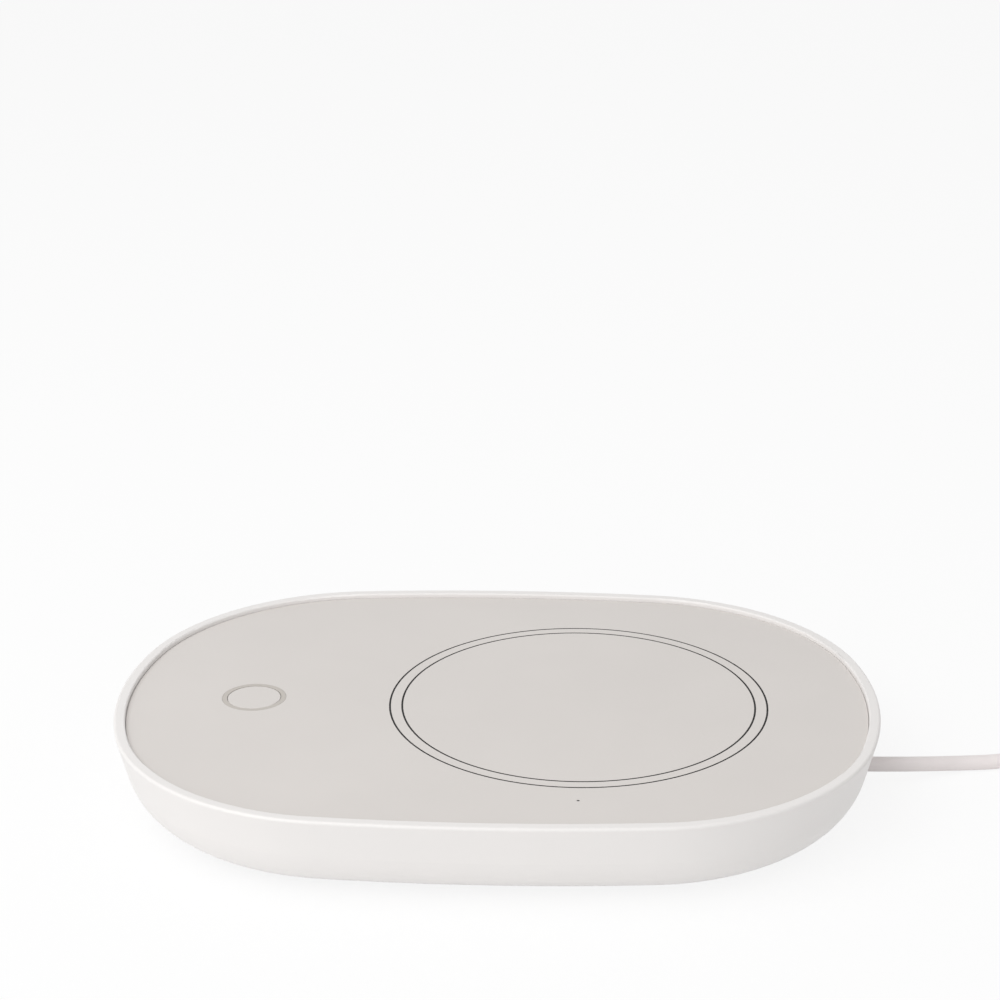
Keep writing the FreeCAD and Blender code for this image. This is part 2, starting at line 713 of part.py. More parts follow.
def screw_profile(radius, head_radius, head_height, seat, reach):
    """Half section of a screw driven upwards: its head hangs under seat, its tip is at reach."""
    head = seat - head_height
    hollow = head + S["recess_depth"]
    return [
        (ZERO, hollow),
        (S["recess_radius"], hollow),
        (S["recess_radius"], head),
        (head_radius, head),
        (head_radius, seat),
        (radius, seat),
        (radius, reach - radius),
        (ZERO, reach),
    ]


def make_screws():
    small = (S["small_screw_radius"], S["small_head_radius"], S["small_head_height"])
    reach = S["small_screw_reach"]
    sets = [
        (
            "cover_screws",
            (S["screw_radius"], S["head_radius"], S["head_height"]),
            underside + S["foot_recess"] + S["screw_play"] + S["head_height"],
            cup_top + S["screw_reach"],
            FOOT_PLACES,
        ),
        ("board_screws", small, board_bottom, board_top + reach, BOARD_SCREW_PLACES),
        ("heater_clamp_screws", small, clamp_bottom, clamp_top + reach, LUG_PLACES),
        ("cable_bar_screws", small, bar_seat(), bar_top + reach, BAR_SCREW_PLACES),
    ]
    for label, sizes, seat, tip, places in sets:
        profile = screw_profile(*sizes, seat, tip)
        copies(label, turned(f"{label}_master", profile, kept=False), places)
    profile = screw_profile(*small, small_board_bottom, small_board_top + reach)
    turned("indicator_screw", profile, x=SMALL_SCREW_PLACE[0], y=SMALL_SCREW_PLACE[1])


# The top: panel and its adhesive, warming plate, insulating ring and the two seals
def make_sheet_part(label, bottom, thick, inset, plate_hole, key_hole, dot_hole):
    body = new_body(label)
    outline = sketch_on(body, "XY_Plane", bottom, "Outline")
    draw_outline(outline, inset)
    pad(body, outline, thick, name="Plate")
    top = bottom + thick
    circles_pocket(body, [(S["plate_x"], ZERO)], plate_hole, top, thick, name="PlateHole")
    circles_pocket(body, [(S["key_x"], ZERO)], key_hole, top, thick, name="KeyHole")
    circles_pocket(body, [(S["dot_x"], S["dot_y"])], dot_hole, top, thick, name="DotHole")


def make_top():
    key_hole = light_outer + S["hole_gap"]
    dot_hole = S["dot_radius"] + S["seal_gap"]
    inset = S["lip_width"] + S["panel_gap"]
    make_sheet_part(
        "top_panel", panel_bottom, S["panel_thick"], inset, panel_hole, key_hole, dot_hole
    )
    make_sheet_part(
        "panel_tape",
        deck_top,
        S["tape_thick"],
        inset + S["seal_foot"],
        panel_hole + S["seal_gap"],
        key_hole,
        S["lens_radius"] + S["hole_gap"],
    )
    plate = [
        (ZERO, film_top),
        (S["spreader_radius"], film_top),
        (S["spreader_radius"], panel_bottom),
        (S["plate_radius"], panel_bottom),
        (S["plate_radius"], panel_top),
        (ZERO, panel_top),
    ]
    turned("warming_plate", plate, x=S["plate_x"])
    turned("plate_trim_ring", column(trim_inner, trim_outer, panel_bottom, panel_top), x=S["plate_x"])
    face = panel_top - S["seal_sink"]
    for label, inner, flange in (
        ("plate_seal", seal_inner, seal_inner - S["seal_foot"]),
        ("ring_seal", ring_seal_inner, ring_seal_inner - S["trim_width"] / 2),
    ):
        web = inner + S["seal_width"]
        profile = [
            (flange, deck_top),
            (web, deck_top),
            (web, face),
            (inner, face),
            (inner, panel_bottom),
            (flange, panel_bottom),
        ]
        turned(label, profile, x=S["plate_x"])


# The power key, the ring of light round it, and the indicator's light pipe
def make_key():
    edge = S["key_dish"]
    cap = [
        (ZERO, key_bottom),
        (S["key_flange_radius"], key_bottom),
        (S["key_flange_radius"], key_flange_top),
        (S["key_radius"], key_flange_top),
        (S["key_radius"], panel_top - edge),
        (S["key_radius"] - edge, panel_top),
        (ZERO, panel_top),
    ]
    bends = {4: ((S["key_radius"] - edge, panel_top - edge), edge, True)}
    turned("power_key", cap, bends, x=S["key_x"])
    ring = [
        (light_inner, light_bottom),
        (light_outer + S["light_flange"], light_bottom),
        (light_outer + S["light_flange"], deck_bottom),
        (light_outer, deck_bottom),
        (light_outer, panel_top),
        (light_inner, panel_top),
    ]
    turned("key_light_ring", ring, x=S["key_x"])
    lens = [
        (ZERO, lens_bottom),
        (S["lens_flange_radius"], lens_bottom),
        (S["lens_flange_radius"], deck_bottom),
        (S["lens_radius"], deck_bottom),
        (S["lens_radius"], panel_bottom),
        (S["dot_radius"], panel_bottom),
        (S["dot_radius"], panel_top - S["seal_sink"]),
        (ZERO, panel_top - S["seal_sink"]),
    ]
    turned("indicator_light_pipe", lens, x=S["dot_x"], y=S["dot_y"])


# The heater under the plate
def etched_track():
    """The etched track: open rings joined in turn at the gap on the -X side."""
    half = S["track_width"].value / 2
    count = int((S["film_radius"].value - S["track_first"].value - half) / S["track_pitch"].value) + 1
    radii = [S["track_first"].value + i * S["track_pitch"].value for i in range(count)]
    gap = S["track_pitch"].value / 2 + half

    def spot(radius, side, across=0.0):
        y = side * (gap + across)
        return Vector(-math.sqrt(radius**2 - y**2), y, 0)

    ribbons = []
    for i, radius in enumerate(radii):
        edges = []
        for r in (radius - half, radius + half):
            edges.append(Part.Arc(spot(r, 1), Vector(r, 0, 0), spot(r, -1)).toShape())
        for side in (1, -1):
            edges.append(Part.LineSegment(spot(radius - half, side), spot(radius + half, side)).toShape())
        ribbons.append(Part.Face(Part.Wire(Part.sortEdges(edges)[0])))
        if i + 1 < count:
            side = 1 if i % 2 else -1
            inner, outer = radius - half, radii[i + 1] + half
            link = [
                spot(inner, side),
                spot(outer, side),
                spot(outer, side, 2 * half),
                spot(inner, side, 2 * half),
            ]
            ribbons.append(Part.Face(Part.makePolygon(link + link[:1])))
    rise = Vector(0, 0, S["track_thick"].value)
    strips = [ribbon.extrude(rise) for ribbon in ribbons]
    return strips[0].multiFuse(strips[1:]).removeSplitter()


def make_heater():
    turned("heating_film", column(ZERO, S["film_radius"], track_top, film_top), x=S["plate_x"])
    track = doc.addObject("Part::Feature", "heater_track")
    track.Shape = etched_track()
    track.Placement.Rotation = FreeCAD.Rotation(Vector(0, 0, 1), -S["terminal_angle"].value)
    place(track, S["plate_x"], None, insulation_top)
    keep("heater_track", track)

    pad_body = new_body("insulation_pad")
    disc = sketch_on(pad_body, "XY_Plane", clamp_top)
    draw_circle(disc, S["plate_x"], ZERO, S["film_radius"])
    pad(pad_body, disc, S["insulation_thick"])
    cut_sensor_slots(pad_body, insulation_top, S["insulation_thick"])

    clamp = new_body("heater_clamp")
    disc = sketch_on(clamp, "XY_Plane", clamp_bottom)
    draw_circle(disc, S["plate_x"], ZERO, S["clamp_radius"])
    pad(clamp, disc, S["clamp_thick"])
    for angle in LUG_ANGLES:
        arm = sketch_on(clamp, "XY_Plane", clamp_bottom)
        draw_arm(arm, angle)
        pad(clamp, arm, S["clamp_thick"], name="Arm")
    circles_pad(clamp, LUG_PLACES, S["lug_half_width"], clamp_bottom, S["clamp_thick"], name="Lugs")
    hole = S["small_screw_radius"] + S["head_play"]
    circles_pocket(clamp, LUG_PLACES, hole, clamp_top, S["clamp_thick"], name="ScrewHoles")
    cut_sensor_slots(clamp, clamp_top, S["clamp_thick"])

    lying = {"axis": "H_Axis"}
    bead_z = insulation_top - S["bead_radius"]
    half = S["bead_length"] / 2
    nose = S["bead_radius"] * 0.75
    shoulder = S["bead_radius"] - nose
    bead = [
        (-half, ZERO),
        (half, ZERO),
        (half, nose),
        (half - shoulder, S["bead_radius"]),
        (shoulder - half, S["bead_radius"]),
        (-half, nose),
    ]
    turned("thermistor", bead, x=S["plate_x"], z=bead_z, **lying)
    fuse_z = insulation_top - S["fuse_radius"]
    half = S["fuse_length"] / 2
    lead = S["thin_wire_radius"]
    tip = half + S["fuse_lead"]
    fuse = [
        (-tip, ZERO),
        (tip, ZERO),
        (tip, lead),
        (half + lead, lead),
        (half, S["fuse_radius"]),
        (-half, S["fuse_radius"]),
        (-half - lead, lead),
        (-tip, lead),
    ]
    turned("thermal_fuse", fuse, x=S["plate_x"], y=S["fuse_y"], z=fuse_z, **lying)


def cut_sensor_slots(body, height, depth):
    """Slots in which the thermistor and the fuse touch the heating film."""
    sketch = sketch_on(body, "XY_Plane", height)
    middle, side = S["plate_x"], S["slot_half_width"]
    for half, y in ((S["slot_half_length"], ZERO), (S["fuse_slot_half_length"], S["fuse_y"])):
        draw_box(sketch, middle - half, middle + half, y - side, y + side)
    pocket(body, sketch, depth, name="SensorSlots")
    notch = sketch_on(body, "XY_Plane", height)
    x, y = terminal_place()
    rim_x = S["plate_x"] - S["film_radius"] - S["notch_half_width"]
    wide = S["notch_half_width"]
    draw_box(notch, rim_x, x + wide, y - wide, y + wide)
    pocket(body, notch, depth, name="TerminalNotch")


def terminal_place():
    """Where a wire is soldered to the outer end of the track."""
    reach = S["film_radius"] - S["notch_half_width"]
    angle = S["terminal_angle"]
    return S["plate_x"] - reach * cosine(angle), reach * sine(angle)


def draw_arm(sketch, angle):
    """The strip from the clamp's disc to a lug, at an angle about the plate's centre."""
    across = S["lug_half_width"]
    near = S["clamp_radius"] - across
    ahead, aside = cosine(angle), sine(angle)
    corners = []
    for out, side in ((near, -1), (S["lug_radius"], -1), (S["lug_radius"], 1), (near, 1)):
        x = S["plate_x"] + out * ahead - side * across * aside
        y = out * aside + side * across * ahead
        corners.append((x, y))
    draw_profile(sketch, corners)


# The control board with its switch, lamps and parts, and the indicator's small board
def make_board(label, x0, x1, y0, y1, bottom, thick, hole_places):
    """A board with rounded corners and clearance holes for its screws."""
    body = new_body(label)
    sketch = sketch_on(body, "XY_Plane", bottom)
    draw_rounded(sketch, x0, x1, y0, y1, S["board_corner"])
    pad(body, sketch, thick)
    hole = S["small_screw_radius"] + S["head_play"]
    circles_pocket(body, hole_places, hole, bottom + thick, thick)


def make_electronics():
    half = S["board_half_width"]
    make_board(
        "control_board",
        S["board_left"],
        S["board_right"],
        -half,
        half,
        board_bottom,
        S["board_thick"],
        BOARD_SCREW_PLACES,
    )
    switch = new_body("tact_switch")
    side = S["switch_side"] / 2
    base = sketch_on(switch, "XY_Plane", board_top)
    draw_box(base, S["key_x"] - side, S["key_x"] + side, -side, side)
    pad(switch, base, S["switch_height"])
    well = S["plunger_depth"] + S["key_travel"] + S["plunger_spare"]
    key = [(S["key_x"], ZERO)]
    circles_pocket(switch, key, S["plunger_radius"] + S["plunger_play"], switch_top, well)
    plunger = column(ZERO, S["plunger_radius"], switch_top - S["plunger_depth"], key_bottom)
    turned("switch_plunger", plunger, x=S["key_x"])

    lamp = S["lamp_side"] / 2
    lamps = []
    for i, j in ((1, 1), (-1, 1), (-1, -1), (1, -1)):
        reach = S["lamp_circle"] * cosine(as_size(45))
        x, y = S["key_x"] + i * reach, j * reach
        top = board_top + S["lamp_height"]
        lamps.append(block("lamp", x - lamp, x + lamp, y - lamp, y + lamp, board_top, top))
    boxes("key_lamps", lamps)

    make_board_parts()
    small = S["small_board_half_width"]
    long = S["small_board_half_length"]
    make_board(
        "indicator_board",
        S["dot_x"] - long,
        S["dot_x"] + long,
        S["dot_y"] - small,
        S["dot_y"] + small,
        small_board_bottom,
        S["small_board_thick"],
        [SMALL_SCREW_PLACE],
    )
    x, y = S["dot_x"], S["dot_y"]
    top = small_board_top + S["small_lamp_height"]
    lamp_box = block("indicator_lamp", x - lamp, x + lamp, y - lamp, y + lamp, small_board_top, top)
    keep("indicator_lamp", lamp_box)


# Parts on the board: length, width and height, then places from the key's centre
CHIP_SIZE = (5.0, 6.2, 1.5)
TRANSISTOR_SIZE = (6.5, 6.1, 2.3)
RESISTOR_SIZE = (2.0, 1.25, 0.55)
BOARD_PARTS = [
    ("controller_chip", CHIP_SIZE, [(-8.5, -9.0)]),
    ("power_transistor", TRANSISTOR_SIZE, [(-9.0, 8.0)]),
    (
        "resistors",
        RESISTOR_SIZE,
        [(-1.5, 12.5), (2.0, 12.5), (-1.5, -12.5), (2.0, -12.5), (-8.5, 0.0), (-8.5, 2.5)],
    ),
]
CAPACITOR_PLACES = [(-3.5, -15.0), (9.5, 0.0)]
CAPACITOR_RADIUS = 2.0
CAPACITOR_HEIGHT = 3.6


def make_board_parts():
    for label, (long, wide, high), spots in BOARD_PARTS:
        made = []
        for x, y in spots:
            left = S["key_x"] + (x - long / 2)
            front = as_size(y - wide / 2)
            made.append(
                block(label, left, left + long, front, front + wide, board_top, board_top + high)
            )
        if len(made) > 1:
            boxes(label, made)
        else:
            keep(label, made[0])
    can = column(ZERO, as_size(CAPACITOR_RADIUS), board_top, board_top + CAPACITOR_HEIGHT)
    places = [(S["key_x"] + x, as_size(y)) for x, y in CAPACITOR_PLACES]
    copies("capacitors", turned("capacitor_master", can, kept=False), places)
    made = []
    for y in connector_lines():
        half = S["connector_width"] / 2
        right = S["board_right"]
        left = right - S["connector_length"]
        top = board_top + S["connector_height"]
        made.append(block("connector", left, right, y - half, y + half, board_top, top))
    boxes("wire_connectors", made)


def connector_lines():
    """The middles of the four connectors along the board's edge, from the back to the front."""
    return [S["connector_pitch"] * k for k in (1.5, 0.5, -0.5, -1.5)]


# The bush in the wall and the bar that grips the lead
def make_lead_grip():
    bore = S["cable_radius"] + S["cable_play"]
    collar_end = S["grommet_start"] + S["grommet_collar"]
    bush = [
        (S["grommet_start"], bore),
        (S["grommet_end"], bore),
        (S["grommet_end"], S["grommet_radius"]),
        (collar_end, S["grommet_radius"]),
        (collar_end, S["grommet_collar_radius"]),
        (S["grommet_start"], S["grommet_collar_radius"]),
    ]
    turned("cable_grommet", bush, axis="H_Axis", z=cable_z)

    bar = new_body("cable_bar")
    sketch = sketch_on(bar, "XY_Plane", bar_bottom)
    half_long, half_wide = S["cable_bar_half_length"], S["cable_bar_half_width"]
    middle = S["cable_bar_x"]
    draw_box(sketch, middle - half_long, middle + half_long, -half_wide, half_wide)
    pad(bar, sketch, S["cable_bar_thick"])
    groove = sketch_on(bar, "YZ_Plane", middle - half_long)
    draw_circle(groove, ZERO, cable_z, bore)
    pocket(bar, groove, 2 * half_long, True)
    head = S["small_head_radius"] + S["head_play"]
    circles_pocket(bar, BAR_SCREW_PLACES, head, bar_bottom, bar_seat() - bar_bottom, True)
    hole = S["small_screw_radius"] + S["head_play"]
    circles_pocket(bar, BAR_SCREW_PLACES, hole, bar_bottom, S["cable_bar_thick"], True)


def bar_seat():
    """The level that the bar's sunk screw heads bear on."""
    return bar_bottom + S["small_head_height"] + S["screw_play"]


# Tubes along a route of straight runs joined by tangent arcs
RUN_SHARE = 0.45


def route_wire(points):
    """The route as lines and arcs; prints the radius at each corner."""
    points = [Vector(*p) for p in points]
    edges, here, radii = [], points[0], []
    for before, corner, after in zip(points, points[1:], points[2:]):
        back, ahead = before - corner, after - corner
        turn = math.pi - back.getAngle(ahead)
        cut = RUN_SHARE * min(back.Length, ahead.Length)
        radius = cut / math.tan(turn / 2)
        radii.append(round(radius, 1))
        start = corner + back.normalize() * cut
        stop = corner + ahead.normalize() * cut
        inward = (back + ahead).normalize()
        rise = radius / math.cos(turn / 2) - radius
        edges.append(Part.LineSegment(here, start).toShape())
        edges.append(Part.Arc(start, corner + inward * rise, stop).toShape())
        here = stop
    edges.append(Part.LineSegment(here, points[-1]).toShape())
    return Part.Wire(edges), radii


def swept(wire, radius):
    """A round tube along a wire, as one solid."""
    first = wire.Edges[0]
    start = first.valueAt(first.FirstParameter)
    along = first.tangentAt(first.FirstParameter)
    ring = Part.Wire(Part.Circle(start, along, radius).toShape())
    shell = Part.BRepOffsetAPI.MakePipeShell(wire)
    shell.add(ring)
    shell.build()
    shell.makeSolid()
    tube = shell.shape()
    share = tube.Volume / (math.pi * radius**2 * wire.Length)
    return tube, share


def tube_part(label, routes, radius):
    """One node of one or more tubes along hand-chosen points."""
    tubes = []
    for points in routes:
        wire, radii = route_wire(points)
        tube, share = swept(wire, radius.value)
        tubes.append(tube)
        print(f"{label}: length {wire.Length:.1f}, radii {radii}, volume share {share:.4f}")
    node = doc.addObject("Part::Feature", label)
    node.Shape = tubes[0] if len(tubes) == 1 else Part.Compound(tubes)
    node.Placement.Base = Vector(0, 0, 0)
    return keep(label, node)


def paired(points, side):
    """One wire of a pair: each point is (x, y, z) with its offset (across x, across y)."""
    return [(x + side * dx, y + side * dy, z) for (x, y, z), (dx, dy) in points]


def make_wires():
    """Pairs of wires from the connectors to the lead, the heater, the sensor and the indicator."""
    edge = S["board_right"].value
    pin_z = board_top.value + S["connector_height"].value / 2
    heater_y, sensor_y, supply_y, dot_line_y = [y.value for y in connector_lines()]
    half = S["wire_pitch"].value / 2
    middle = S["plate_x"].value
    low = cable_z.value
    under = clamp_bottom.value

    core = S["cable_radius"].value / 2
    start = S["sheath_end"].value
    reach = start - edge
    supply = [
        ((start, 0.0, low), (0, core)),
        ((start - 6.0, 0.0, low), (0, core)),
        ((edge + 0.70 * reach, 0.33 * supply_y, low + 0.2), (0, 0.8)),
        ((edge + 0.44 * reach, 0.72 * supply_y, low + 0.8), (0, 0.9)),
        ((edge + 0.25 * reach, 0.94 * supply_y, pin_z - 1.8), (0, half)),
        ((edge + 8.0, supply_y, pin_z), (0, half)),
        ((edge, supply_y, pin_z), (0, half)),
    ]
    tube_part("supply_wires", [paired(supply, k) for k in (-1, 1)], S["wire_radius"])

    bead_z = insulation_top.value - S["bead_radius"].value
    bead_x = middle - S["bead_length"].value / 2
    slot_x = middle - S["slot_half_length"].value
    near = S["bead_radius"].value * 0.4
    sensor = [
        ((bead_x, 0.0, bead_z), (0, near)),
        ((bead_x - 1.3, 0.0, bead_z), (0, near)),
        ((slot_x - 1.1, 0.3, under - 1.5), (0, 0.6)),
        ((slot_x - 11.0, sensor_y / 2, under - 2.4), (0, 0.8)),
        ((edge + 11.0, sensor_y, pin_z), (0, half)),
        ((edge, sensor_y, pin_z), (0, half)),
    ]
    tube_part("sensor_wires", [paired(sensor, k) for k in (-1, 1)], S["thin_wire_radius"])

    fuse_y = S["fuse_y"].value
    fuse_x = middle - S["fuse_length"].value / 2 - S["fuse_lead"].value
    fuse_z = insulation_top.value - S["fuse_radius"].value
    slot_x = middle - S["fuse_slot_half_length"].value
    pad_x, pad_y = [v.value for v in terminal_place()]
    fused = [
        (fuse_x, fuse_y, fuse_z),
        (fuse_x - 1.6, fuse_y, fuse_z),
        (slot_x - 1.4, fuse_y + 0.1, under - 1.7),
        (slot_x - 11.6, fuse_y + 0.4, under - 2.4),
        (edge + 9.5, heater_y + half, pin_z),
        (edge, heater_y + half, pin_z),
    ]
    direct = [
        (pad_x, pad_y, insulation_top.value),
        (pad_x, pad_y, under + 0.6),
        (pad_x - 2.0, pad_y + 0.3, pin_z + 0.5),
        (edge + 8.0, heater_y - half, pin_z),
        (edge, heater_y - half, pin_z),
    ]
    tube_part("heater_wires", [fused, direct], S["wire_radius"])

    start_x = S["dot_x"].value - S["small_board_half_length"].value
    start_y = S["dot_y"].value
    start_z = small_board_bottom.value + S["small_board_thick"].value / 2
    reach, rise = start_x - edge, dot_line_y - start_y
    dot = [
        ((start_x, start_y, start_z), (0, half)),
        ((start_x - 6.0, start_y, start_z), (0, half)),
        ((edge + 0.54 * reach, start_y + 0.12 * rise, start_z - 0.1), (0.4, 0.9)),
        ((edge + 0.37 * reach, start_y + 0.41 * rise, pin_z), (0.9, 0.4)),
        ((edge + 0.26 * reach, start_y + 0.83 * rise, pin_z), (0.9, 0.4)),
        ((edge + 0.16 * reach, dot_line_y, pin_z), (0.4, half)),
        ((edge, dot_line_y, pin_z), (0, half)),
    ]
    tube_part("indicator_wires", [paired(dot, k) for k in (-1, 1)], S["thin_wire_radius"])


# The lead: held stretch, free run, wound coil and tail to the plug
FREE_START_X = 58.0
COIL_START_ANGLE = 135.0
QUARTERS = (10, 10, 10, 11)
FLOOR_Z = 1.4
COIL_STUB = 2.8
APPROACH = 9.5


def coil_nodes():
    """Points and directions of the wound lead at each quarter turn, seen from above clockwise."""
    pitch = S["coil_pitch"].value
    lift = S["tie_thick"].value + S["tie_gap"].value + S["cable_radius"].value
    span = QUARTERS[0] * pitch / 4
    radius = S["coil_middle_radius"].value + span / 2
    angle = math.radians(COIL_START_ANGLE)
    centre = Vector(S["coil_x"].value, S["coil_y"].value, 0)
    turnings = [sum(QUARTERS[: k + 1]) for k in range(len(QUARTERS) - 1)]
    slope = -pitch / (2 * math.pi)
    nodes, level = [], 0.0
    for step in range(sum(QUARTERS) + 1):
        across, climb = slope, 0.0
        if step in turnings:
            # the spiral reverses here, half way up to the next layer
            across, climb = 0.0, 2 * pitch / math.pi
            level += pitch / 2
            slope = -slope
        out = Vector(math.cos(angle), math.sin(angle), 0)
        forward = Vector(math.sin(angle), -math.cos(angle), 0)
        spot = centre + out * radius + Vector(0, 0, lift + level)
        heading = out * across + forward * radius + Vector(0, 0, climb)
        nodes.append((spot, heading.normalize()))
        if step in turnings:
            level += pitch / 2
        radius += slope * math.pi / 2
        angle -= math.pi / 2
    return nodes


def biarc(p0, t0, p1, t1):
    """Two arcs that leave p0 along t0 and reach p1 along t1."""
    chord = p1 - p0
    both = t0 + t1
    square = 2 * (1 - t0.dot(t1))
    middle = chord.dot(both)
    reach = (math.sqrt(middle**2 + square * chord.dot(chord)) - middle) / square
    near, far = p0 + t0 * reach, p1 - t1 * reach
    joint = (near + far) * 0.5
    return [corner_arc(p0, near, joint), corner_arc(joint, far, p1)]


def corner_arc(start, corner, stop):
    """The arc that touches both legs of an even corner at their ends."""
    back, ahead = start - corner, stop - corner
    half = back.getAngle(ahead) / 2
    radius = back.Length * math.tan(half)
    rise = radius / math.sin(half) - radius
    inward = (start + stop) * 0.5 - corner
    return Part.Arc(start, corner + inward.normalize() * rise, stop).toShape()


def coil_wire():
    """The wound lead's line, with a straight stub of one diameter at each end."""
    nodes = coil_nodes()
    (first, start_way), (last, end_way) = nodes[0], nodes[-1]
    edges = [Part.LineSegment(first - start_way * COIL_STUB, first).toShape()]
    for (p0, t0), (p1, t1) in zip(nodes, nodes[1:]):
        edges += biarc(p0, t0, p1, t1)
    edges.append(Part.LineSegment(last, last + end_way * COIL_STUB).toShape())
    return Part.Wire(edges)


def least_gap(wire, radius):
    """The least clear distance of a wound tube to itself, measured on points of its line."""
    step = radius / 2
    count = int(wire.Length / step)
    line = wire.discretize(Number=count)
    skip = int(6 * radius / step)
    best = math.inf
    cells = {}
    side = 4 * radius
    for i, p in enumerate(line):
        cells.setdefault((int(p.x // side), int(p.y // side)), []).append(i)
    for i, p in enumerate(line):
        home = (int(p.x // side), int(p.y // side))
        for dx in (-1, 0, 1):
            for dy in (-1, 0, 1):
                for j in cells.get((home[0] + dx, home[1] + dy), []):
                    if j > i + skip:
                        best = min(best, p.distanceToPoint(line[j]))
    return best - 2 * radius


def make_lead():
    radius = S["cable_radius"]
    z = cable_z.value
    held = turned(
        "cable_entry",
        column(ZERO, radius, ZERO, as_size(FREE_START_X) - S["sheath_end"]),
    )
    held.Placement.Rotation = FreeCAD.Rotation(Vector(0, 1, 0), 90)
    place(held, S["sheath_end"], None, cable_z)

    wire = coil_wire()
    first, last = wire.Edges[0], wire.Edges[-1]
    start, way_in = first.Vertexes[0].Point, first.tangentAt(first.FirstParameter)
    end, way_out = last.Vertexes[-1].Point, last.tangentAt(last.LastParameter)
    tube, share = swept(wire, radius.value)
    gap = least_gap(wire, radius.value)
    print(f"cable_coil: length {wire.Length:.1f}, least gap {gap:.2f}, volume share {share:.4f}")
    coil = doc.addObject("Part::Feature", "cable_coil")
    coil.Shape = tube
    coil.Placement.Base = Vector(0, 0, 0)
    keep("cable_coil", coil)

    run = [
        (FREE_START_X, 0.0, z),
        (72.0, 0.0, z),
        (86.0, 7.1, FLOOR_Z),
        (98.0, 8.6, FLOOR_Z),
        tuple(start - way_in * APPROACH),
        tuple(start),
    ]
    tube_part("cable_run", [run], radius)
    tail = tail_points(end, way_out)
    tube_part("cable_tail", [tail], radius)
    print("coil from", tuple(round(v, 1) for v in start), "to", tuple(round(v, 1) for v in end))
    return tail[-1]


def tail_points(end, way_out):
    """From the coil's last turn round its outside, down to the plug that lies beside it."""
    x, y, z = end
    low = S["plug_height"].value / 2
    return [
        (x, y, z),
        tuple(end + way_out * APPROACH),
        (x + 10.6, y - 17.0, z - 3.4),
        (x + 11.0, y - 29.0, low),
        (x + 11.0, y - 38.0, low),
    ]


# The USB plug: moulded body with relief, metal shell, tongue and contacts
def make_plug(tip):
    """The plug lies on the floor and points along -Y from the lead's end."""
    x, y, z = tip
    half = S["plug_width"] / 2
    body = new_body("plug_body")
    relief = sketch_on(body, "XZ_Plane", ZERO, "ReliefRing")
    draw_circle(relief, ZERO, ZERO, S["relief_tip_radius"])
    wide = sketch_on(body, "XZ_Plane", S["relief_length"], "ReliefRoot")
    draw_circle(wide, ZERO, ZERO, S["relief_radius"])
    loft = body.newObject("PartDesign::AdditiveLoft", "Relief")
    loft.Profile = relief
    loft.Sections = [wide]
    block_sketch = sketch_on(body, "XZ_Plane", S["relief_length"], "BodyOutline")
    draw_rounded(
        block_sketch, -half, half, -S["plug_height"] / 2, S["plug_height"] / 2, S["plug_round"]
    )
    pad(body, block_sketch, S["plug_length"], name="Block")
    front = S["relief_length"] + S["plug_length"]
    seat = sketch_on(body, "XZ_Plane", front, "ShellSeat")
    draw_shell(seat, S["shell_width"] / 2 + S["tongue_gap"], S["shell_height"] / 2 + S["tongue_gap"])
    pocket(body, seat, S["shell_inset"])
    body.Placement.Base = Vector(x, y, z)

    shell = new_body("plug_shell")
    tube = sketch_on(shell, "XZ_Plane", front - S["shell_inset"])
    draw_shell(tube, S["shell_width"] / 2, S["shell_height"] / 2)
    wall = S["shell_wall"]
    draw_shell(tube, S["shell_width"] / 2 - wall, S["shell_height"] / 2 - wall)
    pad(shell, tube, S["shell_inset"] + S["shell_length"])
    windows = sketch_on(shell, "XY_Plane", ZERO)
    wide, long = S["window_half_width"], S["window_half_length"]
    for side in (-1, 1):
        middle = side * S["shell_width"] / 4
        near = -(front + S["shell_length"] / 2)
        draw_box(windows, middle - wide, middle + wide, near - long, near + long)
    through = pocket(shell, windows, S["shell_height"])
    through.Midplane = True
    shell.Placement.Base = Vector(x, y, z)

    low = -S["shell_height"] / 2 + wall + S["tongue_gap"]
    tongue_top = low + S["tongue_height"]
    tongue_half = S["tongue_width"] / 2
    back = -(front - S["shell_inset"])
    mouth = -(front + S["shell_length"])
    tip_y = mouth + S["tongue_setback"] + y
    left, right = x - tongue_half, x + tongue_half
    keep("plug_tongue", block("plug_tongue", left, right, tip_y, back + y, low + z, tongue_top + z))
    contacts = []
    near = mouth + S["contact_setback"]
    far = near + S["contact_length"]
    for k in (-1.5, -0.5, 0.5, 1.5):
        middle = S["contact_pitch"] * k
        contacts.append(
            block(
                "contact",
                x + middle - S["contact_width"] / 2,
                x + middle + S["contact_width"] / 2,
                near + y,
                far + y,
                tongue_top + z,
                tongue_top + S["contact_thick"] + z,
            )
        )
    boxes("plug_contacts", contacts)


def draw_shell(sketch, half_wide, half_high):
    draw_box(sketch, -half_wide, half_wide, -half_high, half_high)


def make_tie():
    """A flat band round the coil's bundle at its front, standing on the floor."""
    body = new_body("cable_tie")
    radius = S["cable_radius"]
    span = S["coil_pitch"] * QUARTERS[0] / 4
    gap = S["tie_gap"]
    bore = S["coil_middle_radius"] - span / 2 - radius
    half_width = S["tie_width"] / 2
    inner = root(bore * bore - half_width * half_width) - gap
    outer = S["coil_middle_radius"] + span / 2 + radius + gap
    bottom = S["tie_thick"]
    top = S["tie_thick"] + 2 * gap + 2 * radius + S["coil_pitch"] * (len(QUARTERS) - 1)
    sketch = sketch_on(body, "YZ_Plane", -S["tie_width"] / 2)
    thick = S["tie_thick"]
    corner = S["tie_corner"]
    draw_rounded(sketch, -outer - thick, thick - inner, bottom - thick, top + thick, corner)
    draw_rounded(sketch, -outer, -inner, bottom, top, corner - thick)
    pad(body, sketch, S["tie_width"])
    place(body, S["coil_x"], S["coil_y"])


